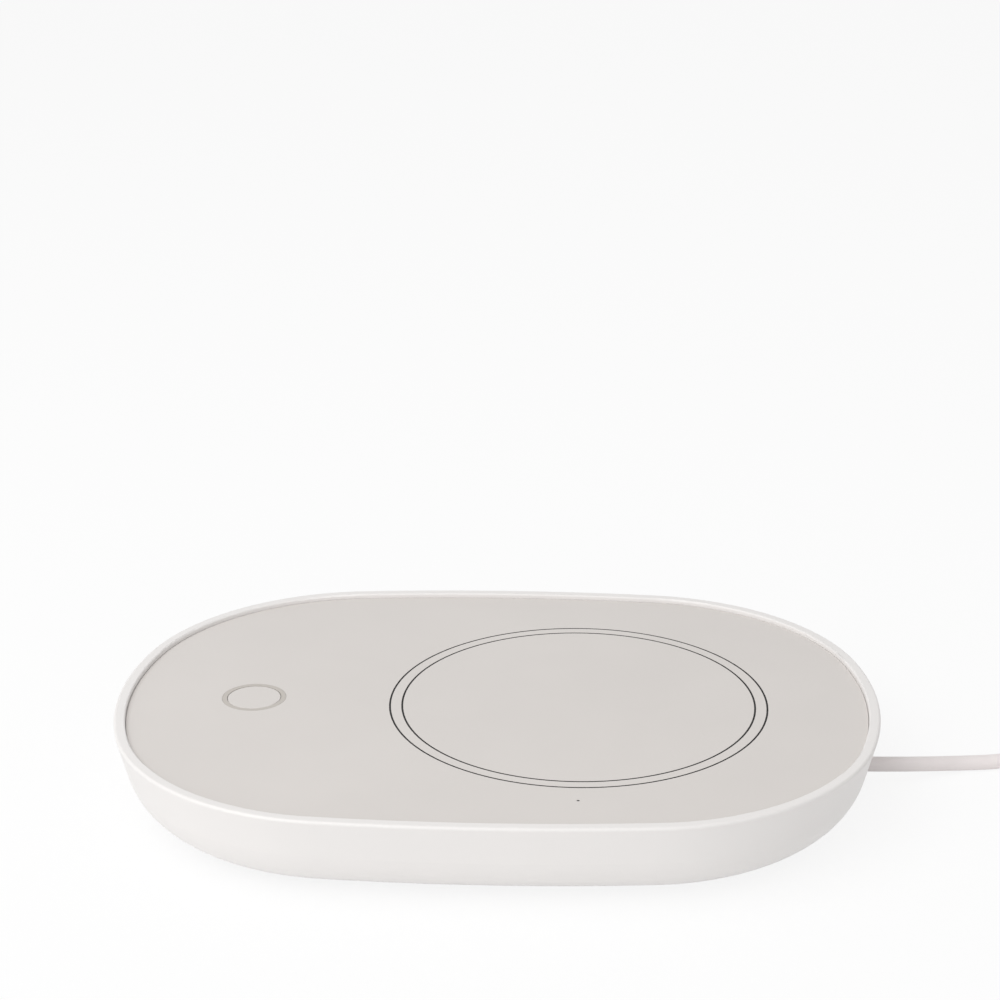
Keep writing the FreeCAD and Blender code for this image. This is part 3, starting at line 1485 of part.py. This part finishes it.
def check_and_write():
    """Stops on any failed feature or shape, then writes one STEP file per sub-part."""
    doc.recompute()
    failed = [o.Name for o in doc.Objects if "Invalid" in o.State or "Error" in o.State]
    if failed:
        raise RuntimeError(f"failed features: {failed}")
    for label, piece in parts.items():
        if piece.Shape.isNull() or not piece.Shape.isValid() or not piece.Shape.Solids:
            raise RuntimeError(f"{label} has no valid shape")
    os.makedirs("parts", exist_ok=True)
    for label, piece in parts.items():
        piece.Shape.exportStep(f"parts/{label}.step")
        print(f"{label}: {len(piece.Shape.Solids)} solids, {piece.Shape.Volume:.1f} mm3")
    print(len(parts), "sub-parts")


make_casing()
make_base()
make_feet()
make_screws()
make_top()
make_key()
make_heater()
make_electronics()
make_lead_grip()
make_wires()
plug_place = make_lead()
make_plug(plug_place)
make_tie()
check_and_write()
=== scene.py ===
import json
import math

import bpy
from mathutils import Matrix, Vector


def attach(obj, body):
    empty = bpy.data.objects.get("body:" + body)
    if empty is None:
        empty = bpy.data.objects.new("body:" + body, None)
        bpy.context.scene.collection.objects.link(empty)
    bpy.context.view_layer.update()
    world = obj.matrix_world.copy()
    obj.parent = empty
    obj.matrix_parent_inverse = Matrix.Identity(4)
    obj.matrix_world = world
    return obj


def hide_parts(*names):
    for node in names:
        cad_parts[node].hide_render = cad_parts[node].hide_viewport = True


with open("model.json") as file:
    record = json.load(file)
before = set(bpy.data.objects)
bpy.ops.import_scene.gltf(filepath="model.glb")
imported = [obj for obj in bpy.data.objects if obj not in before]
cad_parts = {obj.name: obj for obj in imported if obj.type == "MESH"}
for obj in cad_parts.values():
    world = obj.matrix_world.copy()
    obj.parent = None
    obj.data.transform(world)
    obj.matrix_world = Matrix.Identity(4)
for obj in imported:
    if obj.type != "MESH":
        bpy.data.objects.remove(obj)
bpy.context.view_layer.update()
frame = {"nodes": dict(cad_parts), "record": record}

nodes = frame["nodes"]

# All lengths are in metres.

# Camera at the photograph's viewing angle. The angles are in radians: down from level,
# turned from straight ahead, and rolled. The focal length is in sensor widths.
CAMERA_PLACE = (0.02015, -0.4240, 0.2119)
CAMERA_DOWN = 0.352
CAMERA_TURN = -0.046
CAMERA_ROLL = -0.003
SENSOR_WIDTH = 36.0
FOCAL_SHARE = 2.502163
CLIP_NEAR = 0.01
CLIP_FAR = 50

# Free lead: its size, and the route's own points before and after the coil
CORD_RADIUS = 0.0014
RUN_POINTS = [
    (0.0580, 0.0, 0.0044),
    (0.0720, 0.0, 0.0044),
    (0.0860, 0.0071, 0.0014),
    (0.0980, 0.0086, 0.0014),
    (0.10862, 0.01599, 0.0020),
]
TAIL_POINTS = [
    (0.14907, 0.02311, 0.01175),
    (0.15595, 0.01656, 0.01175),
    (0.15967, 0.00611, 0.00835),
    (0.16007, -0.00589, 0.0040),
    (0.16007, -0.01489, 0.0040),
]
CURVE_DETAIL = 6

# The coil: the middle radius of its turns, the height of its lowest layer's centre line,
# and the pitch from turn to turn and from layer to layer
COIL_CENTRE = (0.132, 0.010)
COIL_MIDDLE = 0.0164
COIL_FLOOR = 0.0020
COIL_PITCH = 0.00325
COIL_START = math.radians(135)
LAYER_TURNS = (2.5, 2.5, 2.5, 2.75)
CLIMB_TURNS = 0.5
POINTS_PER_TURN = 16

# Grooves of the two dark lines round the plate: their walls carry painted shade, dark from
# just under the panel's face down by the shade depth below, out to GROOVE_REACH from the
# plate's centre
PLATE_X = 0.0151
PANEL_FACE = 0.0161
GROOVE_REACH = 0.0356
GROOVE_SHADE_DEPTH = 0.0004
FACE_MARGIN = 0.00001

# Plain light, and a floor that the camera sees nearly white
WORLD_STRENGTH = 0.55
FLOOR_HALF_SIDE = 6.0
FLOOR_COLOUR = (0.95, 0.95, 0.95, 1)
SHADOW_SHARE = 0.14
WHITE = (1, 1, 1, 1)

# Round lamps that face the origin: name, place, width and watts
LAMPS = [
    ("key_lamp", (-0.34, -0.28, 0.62), 0.7, 2.6),
    ("fill_lamp", (-0.5, -1.1, 0.5), 1.2, 3.3),
]


def add_object(name, data):
    made = bpy.data.objects.new(name, data)
    bpy.context.scene.collection.objects.link(made)
    return made


def make_camera():
    data = bpy.data.cameras.new("photo_camera")
    camera = add_object("photo_camera", data)
    data.sensor_width = SENSOR_WIDTH
    data.lens = FOCAL_SHARE * SENSOR_WIDTH
    data.clip_start = CLIP_NEAR
    data.clip_end = CLIP_FAR
    level = math.cos(CAMERA_DOWN)
    ahead = Vector((
        math.sin(CAMERA_TURN) * level,
        math.cos(CAMERA_TURN) * level,
        -math.sin(CAMERA_DOWN),
    ))
    right = Vector((math.cos(CAMERA_TURN), -math.sin(CAMERA_TURN), 0))
    up = right.cross(ahead)
    tilted = math.cos(CAMERA_ROLL) * right + math.sin(CAMERA_ROLL) * up
    upright = -math.sin(CAMERA_ROLL) * right + math.cos(CAMERA_ROLL) * up
    axes = Matrix((tilted, upright, -ahead)).transposed()
    camera.matrix_world = Matrix.Translation(CAMERA_PLACE) @ axes.to_4x4()
    bpy.context.scene.camera = camera


def coil_points():
    """The wound lead: four layers that spiral in and out, climbing where they reverse."""
    step = 1 / POINTS_PER_TURN
    # The smooth line cuts inside its points, so they stand this much further out
    swell = 1 / math.cos(math.pi / POINTS_PER_TURN)
    reversals = [sum(LAYER_TURNS[: k + 1]) for k in range(len(LAYER_TURNS) - 1)]
    outer = COIL_MIDDLE + LAYER_TURNS[0] * COIL_PITCH / 2
    points = []
    for i in range(int(sum(LAYER_TURNS) / step) + 1):
        turn = i * step
        radius, sign, begun, level = outer, -1, 0.0, 0.0
        for end in reversals + [math.inf]:
            radius += sign * (min(turn, end) - begun) * COIL_PITCH
            if turn <= end:
                break
            begun, sign = end, -sign
        for end in reversals:
            share = min(max((turn - end) / CLIMB_TURNS + 1 / 2, 0), 1)
            level += COIL_PITCH * (3 * share**2 - 2 * share**3)
        angle = COIL_START - turn * 2 * math.pi
        points.append((
            COIL_CENTRE[0] + radius * swell * math.cos(angle),
            COIL_CENTRE[1] + radius * swell * math.sin(angle),
            COIL_FLOOR + level,
        ))
    return points


def make_cord():
    curve = bpy.data.curves.new("supply_lead", "CURVE")
    curve.dimensions = "3D"
    # A unit bevel with small point radii gives the curve a true bound box
    curve.bevel_depth = 1.0
    curve.bevel_resolution = CURVE_DETAIL
    curve.resolution_u = CURVE_DETAIL
    curve.use_fill_caps = True
    spline = curve.splines.new("NURBS")
    points = RUN_POINTS + coil_points() + TAIL_POINTS
    spline.points.add(len(points) - 1)
    for point, place in zip(spline.points, points):
        point.co = (*place, 1)
        point.radius = CORD_RADIUS
    # Set after the points, because set before, they leave the spline straight
    spline.order_u = 3
    spline.use_endpoint_u = True
    lead = add_object("supply_lead", curve)
    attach(lead, "warmer")
    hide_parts("cable_run", "cable_coil", "cable_tail")
    return lead


make_camera()
lead = make_cord()


# Procedural materials
RAMP_SPAN = (0.3, 0.7)
ROUGH_SPREAD = 0.05
DRAWN_LINES = (40, 40, 4000)
EVEN_GRAIN = (900, 900, 900)
FELT_FIBRES = (900, 2600, 1800)
PLASTIC_IOR = 1.49

# The colour sockets of a Mix node
MIX_FIRST, MIX_SECOND, MIX_RESULT = 6, 7, 2


def srgb(*levels):
    """A colour from screen levels of 0 to 255, by the standard sRGB curve."""
    def linear(level):
        share = level / 255
        return share / 12.92 if share <= 0.04045 else ((share + 0.055) / 1.055) ** 2.4
    return (*[linear(level) for level in levels], 1.0)


def lighter(colour, factor):
    """The colour times a factor, which also makes it darker."""
    return (*[min(1.0, c * factor) for c in colour[:3]], 1.0)


class Maker:
    """Builds one node material on a Principled shader."""

    def __init__(self, name):
        self.material = bpy.data.materials.new(name)
        self.material.use_nodes = True
        self.tree = self.material.node_tree
        self.shader = self.tree.nodes["Principled BSDF"]
        self.place = self.node("ShaderNodeTexCoord").outputs["Object"]

    def node(self, kind, **settings):
        made = self.tree.nodes.new(kind)
        for key, value in settings.items():
            setattr(made, key, value)
        return made

    def link(self, start, end):
        self.tree.links.new(start, end)

    def set(self, name, value):
        self.shader.inputs[name].default_value = value

    def stretched(self, scale):
        """Object coordinates scaled by three factors."""
        mapping = self.node("ShaderNodeMapping")
        mapping.inputs["Scale"].default_value = scale
        self.link(self.place, mapping.inputs["Vector"])
        return mapping.outputs["Vector"]

    def noise(self, scale=1.0, detail=4.0, roughness=0.55, vector=None):
        made = self.node("ShaderNodeTexNoise")
        made.inputs["Scale"].default_value = scale
        made.inputs["Detail"].default_value = detail
        made.inputs["Roughness"].default_value = roughness
        self.link(vector or self.place, made.inputs["Vector"])
        return made.outputs["Fac"]

    def ramp(self, value, low, high):
        """Blends two colours over the middle of a value's range."""
        made = self.node("ShaderNodeValToRGB")
        first, last = made.color_ramp.elements
        first.position, last.position = RAMP_SPAN
        first.color, last.color = low, high
        self.link(value, made.inputs["Fac"])
        return made.outputs["Color"]

    def span(self, value, low, high):
        """Maps 0..1 to low..high."""
        made = self.node("ShaderNodeMapRange")
        made.inputs["To Min"].default_value = low
        made.inputs["To Max"].default_value = high
        self.link(value, made.inputs["Value"])
        return made.outputs["Result"]

    def calculate(self, operation, *values):
        """A Math node on sockets and numbers."""
        made = self.node("ShaderNodeMath", operation=operation)
        for socket, value in zip(made.inputs, values):
            if isinstance(value, float):
                socket.default_value = value
            else:
                self.link(value, socket)
        return made.outputs[0]

    def colour(self, output):
        self.link(output, self.shader.inputs["Base Color"])

    def rough(self, output):
        self.link(output, self.shader.inputs["Roughness"])

    def bump(self, height, distance):
        made = self.node("ShaderNodeBump")
        made.inputs["Distance"].default_value = distance
        self.link(height, made.inputs["Height"])
        self.link(made.outputs["Normal"], self.shader.inputs["Normal"])


def groove_shade_mask(m):
    """One on the walls of the grooves round the plate, just under the face, where shade is
    painted, else zero.
    """
    split = m.node("ShaderNodeSeparateXYZ")
    m.link(m.place, split.inputs["Vector"])
    flat = m.node("ShaderNodeCombineXYZ")
    m.link(split.outputs["X"], flat.inputs["X"])
    m.link(split.outputs["Y"], flat.inputs["Y"])
    reach = m.node("ShaderNodeVectorMath", operation="DISTANCE")
    reach.inputs[1].default_value = (PLATE_X, 0, 0)
    m.link(flat.outputs["Vector"], reach.inputs[0])
    middle = PANEL_FACE - GROOVE_SHADE_DEPTH / 2 - FACE_MARGIN
    return m.calculate(
        "MULTIPLY",
        m.calculate("COMPARE", split.outputs["Z"], middle, GROOVE_SHADE_DEPTH / 2),
        m.calculate("LESS_THAN", reach.outputs["Value"], GROOVE_REACH),
    )


def moulded(name, colour, rough, grain, depth=0.00001, vary=0.03, groove_shade=None):
    """Moulded plastic or rubber: fine spark-eroded grain and faint uneven tone, with painted
    shade on the groove walls when a shade colour is given.
    """
    m = Maker(name)
    tone = m.noise(scale=45, detail=2)
    shade = m.ramp(tone, lighter(colour, 1 - vary), lighter(colour, 1 + vary))
    # Painted shade: the groove walls round the plate take a dark colour in place of the shade
    # in the grooves
    if groove_shade:
        mix = m.node("ShaderNodeMix", data_type="RGBA")
        m.link(groove_shade_mask(m), mix.inputs["Factor"])
        m.link(shade, mix.inputs[MIX_FIRST])
        mix.inputs[MIX_SECOND].default_value = groove_shade
        shade = mix.outputs[MIX_RESULT]
    m.colour(shade)
    fine = m.noise(scale=grain, detail=3, roughness=0.6)
    m.rough(m.span(fine, low=rough - ROUGH_SPREAD, high=rough + ROUGH_SPREAD))
    m.bump(fine, distance=depth)
    return m.material


def metal(name, colour, rough, lines=DRAWN_LINES):
    """Plated or brushed metal with fine drawn lines."""
    m = Maker(name)
    m.set("Metallic", 1.0)
    streaks = m.noise(detail=5, roughness=0.6, vector=m.stretched(lines))
    m.colour(m.ramp(streaks, lighter(colour, 0.93), lighter(colour, 1.05)))
    m.rough(m.span(streaks, low=rough - 0.08, high=rough + 0.1))
    m.bump(streaks, distance=0.000004)
    return m.material


def laminate(name):
    """Solder mask over copper traces."""
    m = Maker(name)
    m.set("Coat Weight", 0.4)
    m.set("Coat Roughness", 0.2)
    grid = m.node("ShaderNodeTexBrick")
    grid.inputs["Scale"].default_value = 260
    grid.inputs["Mortar Size"].default_value = 0.03
    m.link(m.place, grid.inputs["Vector"])
    m.colour(m.ramp(grid.outputs["Fac"], srgb(22, 92, 52), srgb(36, 122, 70)))
    m.rough(m.span(m.noise(scale=900), low=0.3, high=0.45))
    m.bump(grid.outputs["Fac"], distance=0.00002)
    return m.material


def felt(name, colour):
    """Pressed insulating fibre."""
    m = Maker(name)
    m.set("Sheen Weight", 0.3)
    fibres = m.noise(detail=6, roughness=0.7, vector=m.stretched(FELT_FIBRES))
    m.colour(m.ramp(fibres, lighter(colour, 0.85), lighter(colour, 1.05)))
    m.rough(m.span(fibres, low=0.85, high=1.0))
    m.bump(fibres, distance=0.00008)
    return m.material


def sheath(name, colour):
    """Soft extruded cable sheath, with faint marks of extrusion and handling."""
    m = Maker(name)
    tone = m.noise(scale=70, detail=3)
    m.colour(m.ramp(tone, lighter(colour, 0.94), lighter(colour, 1.04)))
    skin = m.noise(scale=2600, detail=3, roughness=0.6)
    m.rough(m.span(skin, low=0.42, high=0.56))
    m.bump(skin, distance=0.000008)
    return m.material


def clear(name, colour, rough, through):
    """Tinted translucent plastic."""
    m = Maker(name)
    m.set("Transmission Weight", through)
    m.set("IOR", PLASTIC_IOR)
    cloud = m.noise(scale=400, detail=3)
    m.colour(m.ramp(cloud, lighter(colour, 0.95), lighter(colour, 1.05)))
    m.rough(m.span(cloud, low=rough, high=rough + 0.1))
    m.bump(cloud, distance=0.000003)
    return m.material


SHELL = srgb(237, 234, 232)
PANEL = srgb(219, 214, 210)
# Dark colour of the seal rings, also used as painted shade on the groove walls round the plate
SEAL_AND_SHADE_DARK = srgb(22, 21, 21)
MATERIALS = {
    "white_shell": moulded(
        "satin_shell", SHELL, rough=0.38, grain=5200, depth=0.000006, vary=0.008
    ),
    # The panel's material paints shade on the groove walls round the plate
    "greige_panel": moulded(
        "matte_panel", PANEL, rough=0.55, grain=7000, depth=0.000012, vary=0.012, groove_shade=SEAL_AND_SHADE_DARK
    ),
    "dark_seal": moulded("dark_seal", SEAL_AND_SHADE_DARK, rough=0.8, grain=3500, vary=0.06),
    "smoked_lens": clear("smoked_lens", srgb(48, 46, 45), rough=0.25, through=0.2),
    "pale_lens": moulded(
        "frosted_ring", srgb(194, 188, 181), rough=0.5, grain=5200, depth=0.000006, vary=0.01
    ),
    "adhesive": moulded("adhesive_film", srgb(225, 225, 222), rough=0.5, grain=900),
    "foot_rubber": moulded(
        "foot_rubber", srgb(150, 149, 147), rough=0.8, grain=2600, depth=0.00003, vary=0.05
    ),
    "fibre_pad": felt("fibre_pad", srgb(232, 228, 216)),
    "amber_film": clear("amber_film", srgb(196, 118, 38), rough=0.25, through=0.4),
    "etched_foil": metal("etched_foil", srgb(176, 168, 158), rough=0.35, lines=EVEN_GRAIN),
    "plated_steel": metal("plated_steel", srgb(184, 186, 190), rough=0.32),
    "black_plastic": moulded(
        "black_plastic", srgb(34, 34, 35), rough=0.5, grain=3200, vary=0.08
    ),
    "board_laminate": laminate("board_laminate"),
    "lamp_body": clear("lamp_body", srgb(240, 236, 205), rough=0.15, through=0.5),
    "ceramic_chip": moulded(
        "ceramic_chip", srgb(70, 68, 66), rough=0.35, grain=3000, depth=0.000006, vary=0.05
    ),
    "can_aluminium": metal("can_aluminium", srgb(214, 215, 217), rough=0.25),
    "connector_plastic": moulded(
        "connector_plastic", srgb(232, 226, 208), rough=0.45, grain=3000
    ),
    "wire_insulation": moulded(
        "wire_insulation", srgb(178, 52, 44), rough=0.4, grain=2400, depth=0.000006, vary=0.05
    ),
    "cable_sheath": sheath("cable_sheath", srgb(242, 235, 234)),
    "plain_plastic": moulded("plain_plastic", srgb(222, 221, 218), rough=0.45, grain=3600),
    "tie_plastic": moulded("tie_plastic", srgb(236, 231, 229), rough=0.4, grain=3000),
    "plug_plastic": moulded(
        "plug_plastic", srgb(236, 231, 229), rough=0.42, grain=4200, vary=0.012
    ),
    "gilded_contact": metal("gilded_contact", srgb(226, 190, 110), rough=0.22),
}


def paint():
    for part in frame["record"]["subparts"]:
        node = nodes[part["node"]]
        node.data.materials.clear()
        node.data.materials.append(MATERIALS[part["material_slot"]])
    lead.data.materials.append(MATERIALS["cable_sheath"])


paint()


# Floor, world and lamps
def rays(tree, *kinds):
    """One for the kinds of ray named, else zero."""
    path = tree.nodes.new("ShaderNodeLightPath")
    found = path.outputs[kinds[0]]
    for kind in kinds[1:]:
        either = tree.nodes.new("ShaderNodeMath")
        either.operation = "MAXIMUM"
        tree.links.new(found, either.inputs[0])
        tree.links.new(path.outputs[kind], either.inputs[1])
        found = either.outputs[0]
    return found


def mix_shaders(tree, share, first, second, output_kind):
    """Joins two shaders by a share and sends them to the tree's output."""
    mix = tree.nodes.new("ShaderNodeMixShader")
    output = tree.nodes.new(output_kind)
    tree.links.new(share, mix.inputs["Fac"])
    tree.links.new(first.outputs[0], mix.inputs[1])
    tree.links.new(second.outputs[0], mix.inputs[2])
    tree.links.new(mix.outputs[0], output.inputs["Surface"])


def floor_material():
    """Diffuse, but white to the camera and in reflections, with part of the shadow kept."""
    material = bpy.data.materials.new("floor_white")
    material.use_nodes = True
    tree = material.node_tree
    tree.nodes.clear()
    diffuse = tree.nodes.new("ShaderNodeBsdfDiffuse")
    diffuse.inputs["Color"].default_value = FLOOR_COLOUR
    glow = tree.nodes.new("ShaderNodeEmission")
    share = tree.nodes.new("ShaderNodeMath")
    share.operation = "MULTIPLY"
    share.inputs[1].default_value = 1 - SHADOW_SHARE
    tree.links.new(rays(tree, "Is Camera Ray", "Is Glossy Ray"), share.inputs[0])
    mix_shaders(tree, share.outputs[0], diffuse, glow, "ShaderNodeOutputMaterial")
    return material


def make_floor():
    side = FLOOR_HALF_SIDE
    corners = [(-side, -side, 0), (side, -side, 0), (side, side, 0), (-side, side, 0)]
    mesh = bpy.data.meshes.new("floor")
    mesh.from_pydata(corners, [], [(0, 1, 2, 3)])
    mesh.materials.append(floor_material())
    add_object("floor", mesh)


def make_world():
    """Dim white light on the object, and full white to the camera, gloss and glass."""
    world = bpy.data.worlds.new("studio")
    bpy.context.scene.world = world
    world.use_nodes = True
    tree = world.node_tree
    tree.nodes.clear()
    dim = tree.nodes.new("ShaderNodeBackground")
    dim.inputs["Strength"].default_value = WORLD_STRENGTH
    bright = tree.nodes.new("ShaderNodeBackground")
    bright.inputs["Strength"].default_value = 1.0
    for shade in (dim, bright):
        shade.inputs["Color"].default_value = WHITE
    share = rays(tree, "Is Camera Ray", "Is Glossy Ray", "Is Transmission Ray")
    mix_shaders(tree, share, dim, bright, "ShaderNodeOutputWorld")


def make_lamp(name, place, width, watts):
    data = bpy.data.lights.new(name, "AREA")
    data.shape = "DISK"
    data.size = width
    data.energy = watts
    lamp = add_object(name, data)
    lamp.location = place
    lamp.rotation_euler = (-Vector(place)).to_track_quat("-Z", "Y").to_euler()


make_floor()
make_world()
for lamp in LAMPS:
    make_lamp(*lamp)

bpy.context.scene.view_settings.view_transform = "Standard"

# The lead's curve is worked out before its box is measured
bpy.context.view_layer.update()
